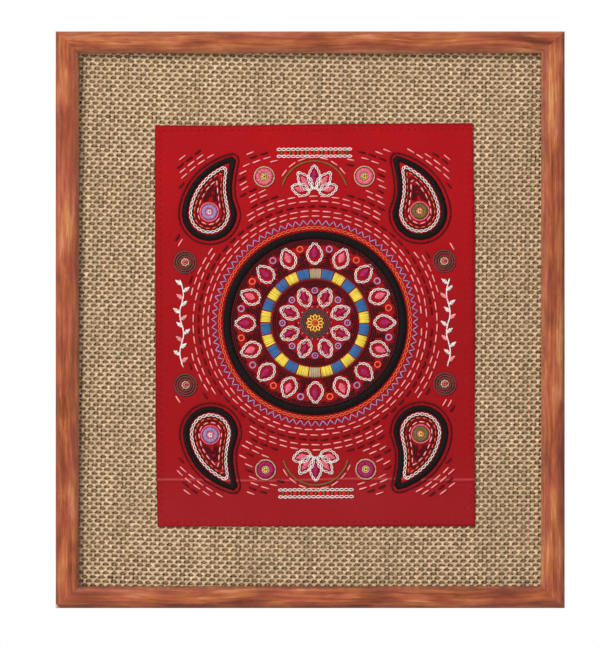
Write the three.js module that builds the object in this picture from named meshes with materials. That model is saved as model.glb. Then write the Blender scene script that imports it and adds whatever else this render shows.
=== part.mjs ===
// A hand-embroidered red cloth, laid on a coarse jute ground and held in a mitred wooden frame.
// Millimetres, +Z up. The picture faces -Y and its back lies in the plane Y = 0, against the wall.
// The origin is the middle of the top rail's back face, where the frame bears on the wall.

import * as THREE from 'three';

// Frame
const frameWidth = 406;
const frameHeight = 460;
const frameDepth = 22;
const sideRailFace = 18.7;
const endRailFace = 17.3;

// Moulding section, seen along a rail. Its face is one soft dome between two edges of like height,
// and the dome's handles lie this far in from the outer edge and from the sight edge.
const rabbetDepth = 14;
const rabbetWidth = 6;
const edgeHeight = 18;
const outerHandle = 0.6;
const innerHandle = 3.2;
const domeSteps = 20;

// Fit between neighbouring pieces
const pieceGap = 0.3;

// Jute ground and the board behind it
const juteThickness = 3;
const boardThickness = 3;

// Embroidered cloth
const clothWidth = 255;
const clothHeight = 321.2;
const clothThickness = 1;
const clothRight = 3.9;
const clothDown = 4.6;
const clothTurn = THREE.MathUtils.degToRad(0.27);
const clothCornerRound = 1.6;
const clothEdgeSteps = 16;

// How far each cloth edge strays outwards from a true rectangle's side, a row for each edge,
// read clockwise from the top left corner
const clothEdges = [
  { edge: 'top', start: -0.1, quarter: -0.6, half: 0.2, threeQuarters: 0.4, finish: 0.4 },
  { edge: 'right', start: -1, quarter: 0.5, half: 0.4, threeQuarters: -0.4, finish: -0.4 },
  { edge: 'bottom', start: 0.3, quarter: 0, half: -0.4, threeQuarters: -0.4, finish: -0.5 },
  { edge: 'left', start: -0.9, quarter: 0.3, half: 0.1, threeQuarters: 0, finish: -0.5 },
];

// Levels above the back plane
const lipBack = rabbetDepth;
const juteFront = lipBack - pieceGap;
const juteBack = juteFront - juteThickness;
const boardFront = juteBack - pieceGap;
const boardBack = boardFront - boardThickness;
const clothBack = juteFront + pieceGap;

// Middle of the frame, measured from the origin on the top rail's back face
const topBackFaceWidth = endRailFace - rabbetWidth;
const frameTop = topBackFaceWidth / 2;
const frameMiddle = frameTop - frameHeight / 2;

// Clear space between the rabbets
const rabbetOpeningWidth = frameWidth - 2 * (sideRailFace - rabbetWidth);
const rabbetOpeningHeight = frameHeight - 2 * (endRailFace - rabbetWidth);

const wood = new THREE.MeshStandardMaterial({ color: 0xa85c3d, roughness: 0.42, metalness: 0 });
const jute = new THREE.MeshStandardMaterial({ color: 0xaa8e6e, roughness: 0.95, metalness: 0 });
const redCotton = new THREE.MeshStandardMaterial({ color: 0xa51b20, roughness: 0.8, metalness: 0 });
const board = new THREE.MeshStandardMaterial({ color: 0x8f6f4c, roughness: 0.85, metalness: 0 });

// The moulding's section: x runs from the outer edge to the sight edge, y from the back to the face.
// A curve whose two handles stand at this height has its crown at the full depth.
function mouldingSection(faceWidth) {
  const handleHeight = (4 * frameDepth - edgeHeight) / 3;
  const section = new THREE.Shape();
  section.moveTo(0, 0);
  section.lineTo(0, edgeHeight);
  section.bezierCurveTo(
    outerHandle,
    handleHeight,
    faceWidth - innerHandle,
    handleHeight,
    faceWidth,
    edgeHeight,
  );
  section.lineTo(faceWidth, rabbetDepth);
  section.lineTo(faceWidth - rabbetWidth, rabbetDepth);
  section.lineTo(faceWidth - rabbetWidth, 0);
  section.closePath();
  return section;
}

// One rail, its length along z. Each end is drawn in across the face, which makes the mitre,
// and stands back half a gap from the mitre's own plane.
function mitredRail(length, faceWidth, neighbourFace) {
  const geometry = new THREE.ExtrudeGeometry(mouldingSection(faceWidth), {
    depth: length,
    bevelEnabled: false,
    curveSegments: domeSteps,
  });
  const mitreSlope = neighbourFace / faceWidth;
  const mitreStandBack = (pieceGap / 2) * Math.hypot(1, mitreSlope);
  const position = geometry.attributes.position;
  for (let index = 0; index < position.count; index += 1) {
    const across = position.getX(index);
    const end = position.getZ(index) > length / 2 ? 1 : -1;
    const reach = length / 2 - across * mitreSlope - mitreStandBack;
    position.setZ(index, end * reach);
  }
  geometry.computeVertexNormals();
  return geometry;
}

// Turns a rail so that its section runs from its outer edge into the frame and its face looks to -Y.
function placeRail(rail, inward, x, z) {
  const face = new THREE.Vector3(0, -1, 0);
  const along = new THREE.Vector3().crossVectors(inward, face);
  rail.setRotationFromMatrix(new THREE.Matrix4().makeBasis(inward, face, along));
  rail.position.set(x, 0, z);
}

function makeRails() {
  const rails = new THREE.Group();
  const sides = [
    { name: 'rail_left', inward: new THREE.Vector3(1, 0, 0), x: -frameWidth / 2 },
    { name: 'rail_right', inward: new THREE.Vector3(-1, 0, 0), x: frameWidth / 2 },
  ];
  for (const side of sides) {
    const rail = new THREE.Mesh(mitredRail(frameHeight, sideRailFace, endRailFace), wood);
    rail.name = side.name;
    placeRail(rail, side.inward, side.x, frameMiddle);
    rails.add(rail);
  }
  const ends = [
    { name: 'rail_top', inward: new THREE.Vector3(0, 0, -1), z: frameTop },
    { name: 'rail_bottom', inward: new THREE.Vector3(0, 0, 1), z: frameTop - frameHeight },
  ];
  for (const end of ends) {
    const rail = new THREE.Mesh(mitredRail(frameWidth, endRailFace, sideRailFace), wood);
    rail.name = end.name;
    placeRail(rail, end.inward, 0, end.z);
    rails.add(rail);
  }
  return rails;
}

// A flat piece drawn in the picture's plane, from `back` to `back + thickness` above the back plane.
function flatPiece(name, outline, back, thickness, material) {
  const geometry = new THREE.ExtrudeGeometry(outline, { depth: thickness, bevelEnabled: false });
  const piece = new THREE.Mesh(geometry, material);
  piece.name = name;
  piece.rotation.x = Math.PI / 2;
  piece.position.set(0, -back, frameMiddle);
  return piece;
}

function rectangle(width, height) {
  const outline = new THREE.Shape();
  outline.moveTo(-width / 2, -height / 2);
  outline.lineTo(width / 2, -height / 2);
  outline.lineTo(width / 2, height / 2);
  outline.lineTo(-width / 2, height / 2);
  outline.closePath();
  return outline;
}

// The cloth's outline: four uneven edges that meet in slightly rounded corners.
function clothOutline() {
  const corners = [
    new THREE.Vector2(-clothWidth / 2, clothHeight / 2),
    new THREE.Vector2(clothWidth / 2, clothHeight / 2),
    new THREE.Vector2(clothWidth / 2, -clothHeight / 2),
    new THREE.Vector2(-clothWidth / 2, -clothHeight / 2),
  ];
  const points = [];
  corners.forEach((start, index) => {
    const finish = corners[(index + 1) % corners.length];
    const along = finish.clone().sub(start).normalize();
    const outward = new THREE.Vector2(-along.y, along.x);
    const length = start.distanceTo(finish);
    const edge = clothEdges[index];
    const before = clothEdges[(index + 3) % clothEdges.length];
    const after = clothEdges[(index + 1) % clothEdges.length];
    const strays = [
      [(clothCornerRound - before.finish) / length, edge.start],
      [0.25, edge.quarter],
      [0.5, edge.half],
      [0.75, edge.threeQuarters],
      [1 - (clothCornerRound - after.start) / length, edge.finish],
    ];
    const knots = strays.map(([share, stray]) => start
      .clone()
      .addScaledVector(along, share * length)
      .addScaledVector(outward, stray));
    points.push(...new THREE.SplineCurve(knots).getPoints(clothEdgeSteps));
  });
  const middle = new THREE.Vector2(0, 0);
  const shift = new THREE.Vector2(clothRight, -clothDown);
  return new THREE.Shape(points.map((point) => point.rotateAround(middle, clothTurn).add(shift)));
}

function makePicture() {
  const picture = new THREE.Group();
  const fitWidth = rabbetOpeningWidth - 2 * pieceGap;
  const fitHeight = rabbetOpeningHeight - 2 * pieceGap;
  const opening = rectangle(fitWidth, fitHeight);
  picture.add(flatPiece('backing_board', opening, boardBack, boardThickness, board));
  picture.add(flatPiece('jute_ground', opening, juteBack, juteThickness, jute));
  picture.add(flatPiece('embroidered_cloth', clothOutline(), clothBack, clothThickness, redCotton));
  return picture;
}

const framedEmbroidery = new THREE.Group();
framedEmbroidery.add(makeRails());
framedEmbroidery.add(makePicture());

export default framedEmbroidery;
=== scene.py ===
# A framed embroidery: fine red cloth, stitched by hand, laid on coarse jute in a mitred wooden frame.
# Metres, +Z up. The picture faces -Y and its back lies in the plane Y = 0. A height is a distance in front
# of that plane, so a point at a height h has Y = -h.
import math

import bmesh
import bpy
import numpy as np
from mathutils import Matrix, Vector, kdtree, noise


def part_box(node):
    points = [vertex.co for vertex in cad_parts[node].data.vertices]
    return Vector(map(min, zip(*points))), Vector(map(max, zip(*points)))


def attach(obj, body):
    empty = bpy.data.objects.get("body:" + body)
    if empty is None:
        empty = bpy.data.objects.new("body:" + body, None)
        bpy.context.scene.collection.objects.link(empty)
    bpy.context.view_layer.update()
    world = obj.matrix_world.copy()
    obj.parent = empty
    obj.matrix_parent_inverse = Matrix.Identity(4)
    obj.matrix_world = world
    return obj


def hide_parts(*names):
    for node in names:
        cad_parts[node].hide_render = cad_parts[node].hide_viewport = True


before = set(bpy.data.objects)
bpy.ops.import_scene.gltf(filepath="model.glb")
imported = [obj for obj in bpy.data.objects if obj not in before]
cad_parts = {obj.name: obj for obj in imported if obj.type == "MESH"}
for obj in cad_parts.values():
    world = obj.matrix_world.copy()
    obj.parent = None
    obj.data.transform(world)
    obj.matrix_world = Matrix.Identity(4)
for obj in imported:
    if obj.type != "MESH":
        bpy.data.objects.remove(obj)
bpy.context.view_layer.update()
mm = 0.001


# The studio
# A plain pale floor stands well below the hung picture, and the surroundings are white.
# One soft lamp hangs up and to the left, and the camera looks at the picture square on.
photo_width_px = 600
photo_height_px = 647
photo_scale = 0.7966 * mm
frame_middle_px = (310.2, 319.75)
camera_distance = 3.0
sensor_long_side = 36.0

frame_low = Vector((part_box("rail_left")[0].x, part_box("rail_left")[0].y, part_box("rail_bottom")[0].z))
frame_high = Vector((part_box("rail_right")[1].x, 0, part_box("rail_top")[1].z))
frame_middle = (frame_low + frame_high) / 2
frame_width = frame_high.x - frame_low.x
frame_length = frame_high.z - frame_low.z
frame_depth = -frame_low.y

view_x = (photo_width_px / 2 - frame_middle_px[0]) * photo_scale + frame_middle.x
view_z = (frame_middle_px[1] - photo_height_px / 2) * photo_scale + frame_middle.z
lens = bpy.data.cameras.new("camera")
lens.sensor_width = sensor_long_side
lens.lens = sensor_long_side * camera_distance / (photo_height_px * photo_scale)
lens.clip_end = 30.0
camera = bpy.data.objects.new("camera", lens)
camera.location = (view_x, frame_low.y - camera_distance, view_z)
camera.rotation_euler = (math.radians(90), 0, 0)
bpy.context.scene.collection.objects.link(camera)
bpy.context.scene.camera = camera
bpy.context.scene.view_settings.view_transform = "Standard"


def hang_lamp(name, place, size, power):
    light = bpy.data.lights.new(name, "AREA")
    light.size = size
    light.energy = power
    holder = bpy.data.objects.new(name, light)
    holder.location = place
    holder.rotation_euler = (frame_middle - Vector(place)).to_track_quat("-Z", "Y").to_euler()
    bpy.context.scene.collection.objects.link(holder)


hang_lamp("window_light", place=(-2.1, -2.4, 2.05), size=1.25, power=126.0)
hang_lamp("fill_light", place=(1.8, -2.6, -0.2), size=2.0, power=8.0)


def node(tree, kind, values=None, **settings):
    """Adds a shader node. A value is a constant, or a socket that is linked to the input."""
    made = tree.nodes.new(kind)
    for key, value in settings.items():
        setattr(made, key, value)
    for socket, value in (values or {}).items():
        if isinstance(value, bpy.types.NodeSocket):
            tree.links.new(value, made.inputs[socket])
        else:
            made.inputs[socket].default_value = value
    return made


def mixed(tree, share, first, second, way="MIX"):
    """A colour between two colours, where a share of 0 is the first one."""
    values = {0: share, 6: first, 7: second}
    return node(tree, "ShaderNodeMix", values, data_type="RGBA", blend_type=way).outputs[2]


def mottle(tree, place, scale, detail=2.0, roughness=0.5):
    """Soft random variation from 0 to 1."""
    values = {"Vector": place, "Scale": scale, "Detail": detail, "Roughness": roughness}
    return node(tree, "ShaderNodeTexNoise", values).outputs["Fac"]


def object_place(tree):
    return node(tree, "ShaderNodeTexCoord").outputs["Object"]


white = (1, 1, 1, 1)
light_around = 0.4
backdrop_light = 1.0
world = bpy.data.worlds.new("white_studio")
world.use_nodes = True
studio_tree = world.node_tree
studio_tree.nodes.clear()
seen = node(studio_tree, "ShaderNodeLightPath").outputs["Is Camera Ray"]
around = node(studio_tree, "ShaderNodeBackground", {"Color": white, "Strength": light_around})
backdrop = node(studio_tree, "ShaderNodeBackground", {"Color": white, "Strength": backdrop_light})
sky = node(studio_tree, "ShaderNodeMixShader", {0: seen, 1: around.outputs[0], 2: backdrop.outputs[0]})
node(studio_tree, "ShaderNodeOutputWorld", {"Surface": sky.outputs[0]})
bpy.context.scene.world = world


def new_material(name, roughness):
    """A material with its own shader. The caller links what varies over the surface."""
    made = bpy.data.materials.new(name)
    made.use_nodes = True
    shader = made.node_tree.nodes["Principled BSDF"]
    shader.inputs["Roughness"].default_value = roughness
    return made, made.node_tree, shader


def put_in_scene(name, mesh, material):
    mesh.materials.append(material)
    made = bpy.data.objects.new(name, mesh)
    bpy.context.scene.collection.objects.link(made)
    return made


def mesh_from(bm, name):
    mesh = bpy.data.meshes.new(name)
    bm.to_mesh(mesh)
    bm.free()
    return mesh


floor_drop = 0.32
floor_half = 2.4
floor_dark = (0.74, 0.73, 0.71, 1)
floor_pale = (0.8, 0.79, 0.77, 1)
floor_bm = bmesh.new()
bmesh.ops.create_grid(floor_bm, x_segments=2, y_segments=2, size=floor_half)
bmesh.ops.translate(floor_bm, verts=floor_bm.verts, vec=(0, 0, frame_low.z - floor_drop))
floor_paint, floor_tree, floor_shader = new_material("floor_paint", 0.8)
floor_tone = mixed(floor_tree, mottle(floor_tree, object_place(floor_tree), 3.0, 3.0), floor_dark, floor_pale)
floor_tree.links.new(floor_tone, floor_shader.inputs["Base Color"])
put_in_scene("floor", mesh_from(floor_bm, "floor"), floor_paint)


# The frame
# Four lengths of one hardwood moulding, softly domed on the face and rabbeted behind. They are cut at the
# corners to fit round the opening and glued, then stained red-brown under a satin varnish that has worn.
side_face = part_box("rail_left")[1].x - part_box("rail_left")[0].x
end_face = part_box("rail_top")[1].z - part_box("rail_top")[0].z
rabbet_depth = 14 * mm
rabbet_width = 6 * mm
edge_height = 18 * mm
outer_handle = 0.6 * mm
inner_handle = 3.2 * mm
dome_steps = 18
rail_slices = 72
arris_round = 0.45 * mm
mitre_round = 0.1 * mm
mitre_overlap = 0.01 * mm
hand_unevenness = 0.07 * mm
hand_waves = 30
mitre_calm = 6 * mm
sharp_turn = 0.5
# How far the painted shade and painted highlight reach in from the outer and sight edges
outer_rim_reach = 1.3 * mm
sight_rim_reach = 1.9 * mm


def moulding_section(face):
    """The section from the outer edge across to the sight edge, as on the solid rails."""
    handle_height = (4 * frame_depth - edge_height) / 3
    points = [(0, 0), (0, edge_height)]
    for step in range(1, dome_steps + 1):
        t = step / dome_steps
        bow = 3 * (1 - t) * t
        across = bow * ((1 - t) * outer_handle + t * (face - inner_handle)) + t**3 * face
        height = (1 - bow) * edge_height + bow * handle_height
        points.append((across, height))
    points.append((face, rabbet_depth))
    points.append((face - rabbet_width, rabbet_depth))
    points.append((face - rabbet_width, 0))
    return points


def soften_edges(bm, radius, wanted):
    edges = [e for e in bm.edges if e.is_manifold and e.calc_face_angle() > sharp_turn and wanted(e)]
    bmesh.ops.bevel(
        bm,
        geom=edges,
        offset=radius,
        offset_type="OFFSET",
        segments=2,
        profile=0.5,
        affect="EDGES",
        material=-1,
        clamp_overlap=True,
    )


def end_edges(bm):
    """The edges of a rail's two end faces, the only ones with many corners."""
    return {e for f in bm.faces if len(f.verts) > 4 for e in f.edges}


def shade_smooth(mesh, sharp_angle):
    mesh.polygons.foreach_set("use_smooth", [True] * len(mesh.polygons))
    mesh.set_sharp_from_angle(angle=math.radians(sharp_angle))


def make_rail(name, length, face, neighbour_face, inward, outer_point, wood):
    bm = bmesh.new()
    end = bm.faces.new([bm.verts.new((across, height, 0)) for across, height in moulding_section(face)])
    grown = bmesh.ops.extrude_face_region(bm, geom=[end])["geom"]
    far_end = [part for part in grown if isinstance(part, bmesh.types.BMVert)]
    bmesh.ops.translate(bm, verts=far_end, vec=(0, 0, 1))
    long_edges = [e for e in bm.edges if abs(e.verts[0].co.z - e.verts[1].co.z) > 0.5]
    bmesh.ops.subdivide_edges(bm, edges=long_edges, cuts=rail_slices - 1)
    for vert in bm.verts:
        share = 2 * vert.co.z - 1
        reach = length / 2 - vert.co.x * neighbour_face / face + mitre_overlap
        vert.co.z = share * reach
    bmesh.ops.recalc_face_normals(bm, faces=bm.faces)
    caps = end_edges(bm)
    soften_edges(bm, arris_round, lambda e: e not in caps)
    caps = end_edges(bm)
    soften_edges(bm, mitre_round, lambda e: e in caps)
    bm.normal_update()
    for vert in bm.verts:
        wobble = noise.noise(vert.co * hand_waves + Vector((length, face, 0)))
        to_mitre = length / 2 - vert.co.x * neighbour_face / face - abs(vert.co.z)
        calmed = min(1, max(0, to_mitre / mitre_calm - 0.1))
        vert.co += vert.normal * min(0, wobble) * hand_unevenness * calmed
    # Masks along the outer and sight rims, for the painted shade and painted highlight there
    outer_rim = bm.verts.layers.float.new("outer_rim")
    sight_rim = bm.verts.layers.float.new("sight_rim")
    for vert in bm.verts:
        below = max(0, edge_height - vert.co.y)
        vert[outer_rim] = math.exp(-(vert.co.x + below / 3) / outer_rim_reach)
        vert[sight_rim] = math.exp(-(abs(face - vert.co.x) + below) / sight_rim_reach)
    face_way = Vector((0, -1, 0))
    along = inward.cross(face_way)
    turn = Matrix((inward, face_way, along)).transposed().to_4x4()
    bm.transform(Matrix.Translation(outer_point) @ turn)
    mesh = mesh_from(bm, name)
    shade_smooth(mesh, 40)
    made = put_in_scene(name, mesh, wood)
    shading = made.modifiers.new("shading", "WEIGHTED_NORMAL")
    shading.keep_sharp = True
    return made


def new_group(name, inputs, outputs):
    tree = bpy.data.node_groups.new(name, "ShaderNodeTree")
    for socket, kind, start in inputs:
        made = tree.interface.new_socket(socket, in_out="INPUT", socket_type="NodeSocket" + kind)
        if start is not None:
            made.default_value = start
    for socket, kind in outputs:
        tree.interface.new_socket(socket, in_out="OUTPUT", socket_type="NodeSocket" + kind)
    return tree, tree.nodes.new("NodeGroupInput").outputs, tree.nodes.new("NodeGroupOutput").inputs


def ramp(tree, value, *stops):
    """A colour ramp. Each stop is a place from 0 to 1 and a colour, or a grey."""
    made = node(tree, "ShaderNodeValToRGB", {"Fac": value})
    elements = made.color_ramp.elements
    while len(elements) < len(stops):
        elements.new(0.5)
    for element, (place, shade) in zip(elements, stops):
        element.position = place
        element.color = (*shade, 1) if isinstance(shade, tuple) else (shade, shade, shade, 1)
    return made.outputs["Color"]


def maths(tree, way, first, second=0.0, clamp=False):
    return node(tree, "ShaderNodeMath", {0: first, 1: second}, operation=way, use_clamp=clamp).outputs[0]


def times(tree, first, second, clamp=False):
    return maths(tree, "MULTIPLY", first, second, clamp)


def plus(tree, first, second):
    return maths(tree, "ADD", first, second)


def parts_of(tree, vector):
    return node(tree, "ShaderNodeSeparateXYZ", {0: vector}).outputs


def finish_surface(tree, shader, colour, height, strength, depth, specular=0.5):
    """Links a colour and a relief to the shader."""
    bump = node(tree, "ShaderNodeBump", {"Height": height, "Strength": strength, "Distance": depth})
    tree.links.new(colour, shader.inputs["Base Color"])
    tree.links.new(bump.outputs["Normal"], shader.inputs["Normal"])
    shader.inputs["Specular IOR Level"].default_value = specular


# Grain runs along z in the group, in metres: broad bands, fine streaks, open pores and soft blotches.
grain_bend = 0.011
streak_stretch = 0.035
patch_stretch = 0.28
pore_dark = (0.11, 0.028, 0.012, 1)
blotch_red = (0.36, 0.075, 0.035, 1)
shade_and_glue_brown = (0.1, 0.05, 0.034, 1)
highlight_pale = (0.4, 0.205, 0.12, 1)
mark_strength = 0.62
grain, grain_in, grain_out = new_group(
    "wood_grain",
    [("Vector", "Vector", None), ("Shade_and_glue", "Float", 0.0), ("Highlight", "Float", 0.0)],
    [("Color", "Color"), ("Roughness", "Float"), ("Height", "Float")],
)
bend = node(grain, "ShaderNodeTexNoise", {"Vector": grain_in["Vector"], "Scale": 9.0})
bend_off = node(
    grain,
    "ShaderNodeVectorMath",
    {0: bend.outputs["Color"], 1: (grain_bend, grain_bend, 0.0), 2: grain_in["Vector"]},
    operation="MULTIPLY_ADD",
).outputs[0]
drawn_out = node(grain, "ShaderNodeMapping", {"Vector": bend_off, "Scale": (1, 1, streak_stretch)}).outputs[0]
streaks = mottle(grain, drawn_out, 420.0, 6.0, 0.6)
bands = mottle(grain, drawn_out, 130.0, 3.0)
pores = mottle(grain, drawn_out, 1500.0)
blotch = mottle(grain, grain_in["Vector"], 17.0, 3.0)
patch_scale = (1, 1, patch_stretch)
patch_place = node(grain, "ShaderNodeMapping", {"Vector": bend_off, "Scale": patch_scale}).outputs[0]
patches = mottle(grain, patch_place, 95.0, 3.0, 0.55)
figure = plus(grain, times(grain, streaks, 0.4), times(grain, bands, 0.22))
figure = plus(grain, figure, times(grain, patches, 0.38))
stain = ramp(
    grain,
    figure,
    (0.39, (0.125, 0.025, 0.007)),
    (0.455, (0.26, 0.055, 0.015)),
    (0.505, (0.385, 0.093, 0.028)),
    (0.555, (0.50, 0.150, 0.048)),
    (0.62, (0.66, 0.285, 0.115)),
)
stain = mixed(grain, ramp(grain, pores, (0.6, 0.0), (0.68, 0.55)), stain, pore_dark)
stain = mixed(grain, ramp(grain, blotch, (0.35, 0.0), (0.75, 0.5)), stain, blotch_red)
hue = node(grain, "ShaderNodeTexNoise", {"Vector": patch_place, "Scale": 150.0}).outputs["Color"]
hue_share = parts_of(grain, hue)["Y"]
tint = ramp(grain, hue_share, (0.38, (0.99, 0.86, 1.1)), (0.62, (1.03, 1.08, 0.88)))
stain = mixed(grain, 1.0, stain, tint, way="MULTIPLY")
spotty = ramp(grain, mottle(grain, grain_in["Vector"], 160.0, 4.0), (0.37, 0.35), (0.62, 1.3))
shaded_and_glued = times(grain, spotty, grain_in["Shade_and_glue"], clamp=True)
highlit = times(grain, spotty, grain_in["Highlight"], clamp=True)
# Painted shade along the rims, together with the dark glue line at the mitres
stain = mixed(grain, times(grain, shaded_and_glued, mark_strength), stain, shade_and_glue_brown)
# A painted pale highlight along the rims
stain = mixed(grain, times(grain, highlit, mark_strength), stain, highlight_pale)
grain.links.new(stain, grain_out["Color"])
rough = plus(grain, times(grain, streaks, 0.25), times(grain, plus(grain, shaded_and_glued, highlit), 0.3))
grain.links.new(plus(grain, rough, 0.22), grain_out["Roughness"])
relief = maths(grain, "SUBTRACT", streaks, ramp(grain, pores, (0.58, 0.0), (0.7, 1.0)))
grain.links.new(relief, grain_out["Height"])


# The four mitres show as a fine dark line of glue, and one corner has lost a crumb of its finish.
glue_line = 0.3 * mm
glue_dark = 0.55
chip_reach = 5.4 * mm
chip_place = (frame_low.x, frame_low.y + 3 * mm, frame_low.z)
bare_wood = (0.66, 0.5, 0.38, 1)
# The most that the sight rim is paled with painted highlight
sight_highlight_most = 0.75
corner_marks, corner_in, corner_out = new_group(
    "corner_marks",
    [("Vector", "Vector", None)],
    [("Joint", "Float"), ("Chip", "Float")],
)


def corner_vector(way, first, second=(0, 0, 0), output=0):
    return node(corner_marks, "ShaderNodeVectorMath", {0: first, 1: second}, operation=way).outputs[output]


from_middle = corner_vector("ABSOLUTE", corner_vector("SUBTRACT", corner_in["Vector"], frame_middle))
from_edges = corner_vector("SUBTRACT", (frame_width / 2, 0, frame_length / 2), from_middle)
edge_parts = parts_of(corner_marks, from_edges)
side_share = maths(corner_marks, "DIVIDE", edge_parts["X"], side_face)
end_share = maths(corner_marks, "DIVIDE", edge_parts["Z"], end_face)
off_joint = maths(corner_marks, "ABSOLUTE", maths(corner_marks, "SUBTRACT", side_share, end_share))
off_joint = maths(corner_marks, "DIVIDE", off_joint, glue_line / end_face)
joint_share = maths(corner_marks, "MAXIMUM", maths(corner_marks, "SUBTRACT", 1.0, off_joint), 0.0)
corner_marks.links.new(times(corner_marks, joint_share, glue_dark), corner_out["Joint"])
chip_gap = corner_vector("DISTANCE", corner_in["Vector"], chip_place, "Value")
chip_share = maths(corner_marks, "DIVIDE", chip_gap, chip_reach)
ragged = times(corner_marks, mottle(corner_marks, corner_in["Vector"], 900.0), 0.8)
chip_share = plus(corner_marks, chip_share, ragged)
corner_marks.links.new(ramp(corner_marks, chip_share, (0.86, 1.0), (1.0, 0.0)), corner_out["Chip"])


def stained_wood(name, turn, offset, rim_highlight, sight_shade):
    """The rail's own material. Turn brings its length on to z, and offset picks its stretch of grain.
    Its outer rim is darkened with painted shade, but for the share painted pale as a highlight, and its
    sight rim is painted pale as a highlight, but for the share darkened with painted shade."""
    made, tree, shader = new_material(name, 0.4)
    place = object_place(tree)
    laid = node(tree, "ShaderNodeMapping", {"Vector": place, "Location": offset, "Rotation": turn}).outputs[0]
    outer_rim = node(tree, "ShaderNodeAttribute", attribute_name="outer_rim").outputs["Fac"]
    sight_rim = node(tree, "ShaderNodeAttribute", attribute_name="sight_rim").outputs["Fac"]
    marks = node(tree, "ShaderNodeGroup", {"Vector": place}, node_tree=corner_marks).outputs
    # The rims are darkened with painted shade and paled with a painted highlight, by the shares given
    rim_shade = plus(tree, times(tree, outer_rim, 1 - rim_highlight), times(tree, sight_rim, sight_shade))
    sight_highlight = times(tree, sight_rim, sight_highlight_most * max(0, 1 - sight_shade))
    grain_values = {
        "Vector": laid,
        "Shade_and_glue": plus(tree, rim_shade, marks["Joint"]),
        "Highlight": plus(tree, sight_highlight, times(tree, outer_rim, rim_highlight)),
    }
    figure = node(tree, "ShaderNodeGroup", grain_values, node_tree=grain).outputs
    bare = mixed(tree, marks["Chip"], figure["Color"], bare_wood)
    finish_surface(tree, shader, bare, figure["Height"], 0.25, 0.2 * mm, specular=0.34)
    tree.links.new(figure["Roughness"], shader.inputs["Roughness"])
    shader.inputs["Coat Weight"].default_value = 0.1
    shader.inputs["Coat Roughness"].default_value = 0.38
    return made


right = Vector((1, 0, 0))
upwards = Vector((0, 0, 1))
upright = (0, 0, 0)
crosswise = (0, math.radians(90), 0)
# Each rail's name, way in, outer middle, turn, stretch of grain, and shares of painted highlight and of
# painted shade
rail_plan = [
    ("left", right, (frame_low.x, frame_middle.z), upright, (0.31, 0.0, 1.2), 0.35, 0.1),
    ("right", -right, (frame_high.x, frame_middle.z), upright, (0.83, 0.4, 2.9), 0.0, 0.0),
    ("top", -upwards, (0, frame_high.z), crosswise, (2.17, 0.9, 0.4), 1.0, 0.1),
    ("bottom", upwards, (0, frame_low.z), crosswise, (3.49, 1.3, 5.1), 0.0, 1.4),
]
for where, inward, (x, z), turn, offset, rim_highlight, sight_shade in rail_plan:
    length, face, neighbour = frame_width, end_face, side_face
    if turn == upright:
        length, face, neighbour = frame_length, side_face, end_face
    wood = stained_wood("stained_wood_" + where, turn, offset, rim_highlight, sight_shade)
    rail = make_rail("wooden_rail_" + where, length, face, neighbour, inward, Vector((x, 0, z)), wood)
    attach(rail, "root")
    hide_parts("rail_" + where)


# The backing board
# A plain sheet of brown fibreboard, cut a little smaller than the rabbet and dropped in behind the jute.
# Its edges are rubbed soft, and it bows very slightly.
board_low, board_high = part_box("backing_board")
board_cuts = 12
board_bow = 0.25 * mm
board_round = 0.3 * mm
fibre_tones = [(0.3, (0.2, 0.11, 0.052)), (0.5, (0.36, 0.22, 0.115)), (0.75, (0.52, 0.35, 0.2))]
cloud_tone = (0.26, 0.155, 0.08, 1)


def block(size, place):
    bm = bmesh.new()
    bmesh.ops.create_cube(bm, size=1)
    bmesh.ops.scale(bm, verts=bm.verts, vec=size)
    bmesh.ops.translate(bm, verts=bm.verts, vec=place)
    return bm


board_bm = block(board_high - board_low, (board_high + board_low) / 2)
soften_edges(board_bm, board_round, lambda e: True)
long_edges = [e for e in board_bm.edges if e.calc_length() > 0.1]
bmesh.ops.subdivide_edges(board_bm, edges=long_edges, cuts=board_cuts, use_grid_fill=True)
for vert in board_bm.verts:
    share = (vert.co.x - board_low.x) / (board_high.x - board_low.x)
    if vert.co.y > board_low.y + 1 * mm:
        vert.co.y -= board_bow * (1 - (2 * share - 1) ** 2)
fibreboard, board_tree, board_shader = new_material("fibreboard", 0.85)
board_place = object_place(board_tree)
flecks = mottle(board_tree, board_place, 900.0, 4.0)
clouds = ramp(board_tree, mottle(board_tree, board_place, 14.0, 5.0), (0.3, 0.0), (0.8, 0.5))
board_tone = mixed(board_tree, clouds, ramp(board_tree, flecks, *fibre_tones), cloud_tone)
finish_surface(board_tree, board_shader, board_tone, flecks, 0.35, 0.2 * mm)
board = put_in_scene("fibre_backing", mesh_from(board_bm, "fibre_backing"), fibreboard)
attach(board, "root")
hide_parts("backing_board")


# The jute ground
# Coarse hessian in plain weave, a yarn every 3.4 mm each way: pale warps, narrow where they cross a weft and
# spread between two, over darker wefts, whose dark is partly their own colour and partly painted shade. It is
# stretched over the board a little crooked, so its rows fall to the right. The yarns are made where they
# show, and go a little way under the frame and the red cloth.
jute_low, jute_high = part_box("jute_ground")
jute_back = -jute_high.y
jute_front = -jute_low.y
jute_middle = (jute_back + jute_front) / 2
warp_pitch = 3.39 * mm
weft_pitch = 3.43 * mm
warp_half = (0.64 * mm, 0.6 * mm)
weft_half = (0.83 * mm, 0.5 * mm)
warp_crimp = jute_front - jute_middle - warp_half[1]
weft_crimp = 0.4 * mm
warp_swell = 0.45 * mm
warp_spread = 3.35
weft_spread = 0.42
warp_steps = 3
weft_steps = 1
opening_half = (frame_width / 2 - side_face, frame_length / 2 - end_face)
under_lip = 3.5 * mm
under_cloth = 8 * mm
weave_reach = 0.26

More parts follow.
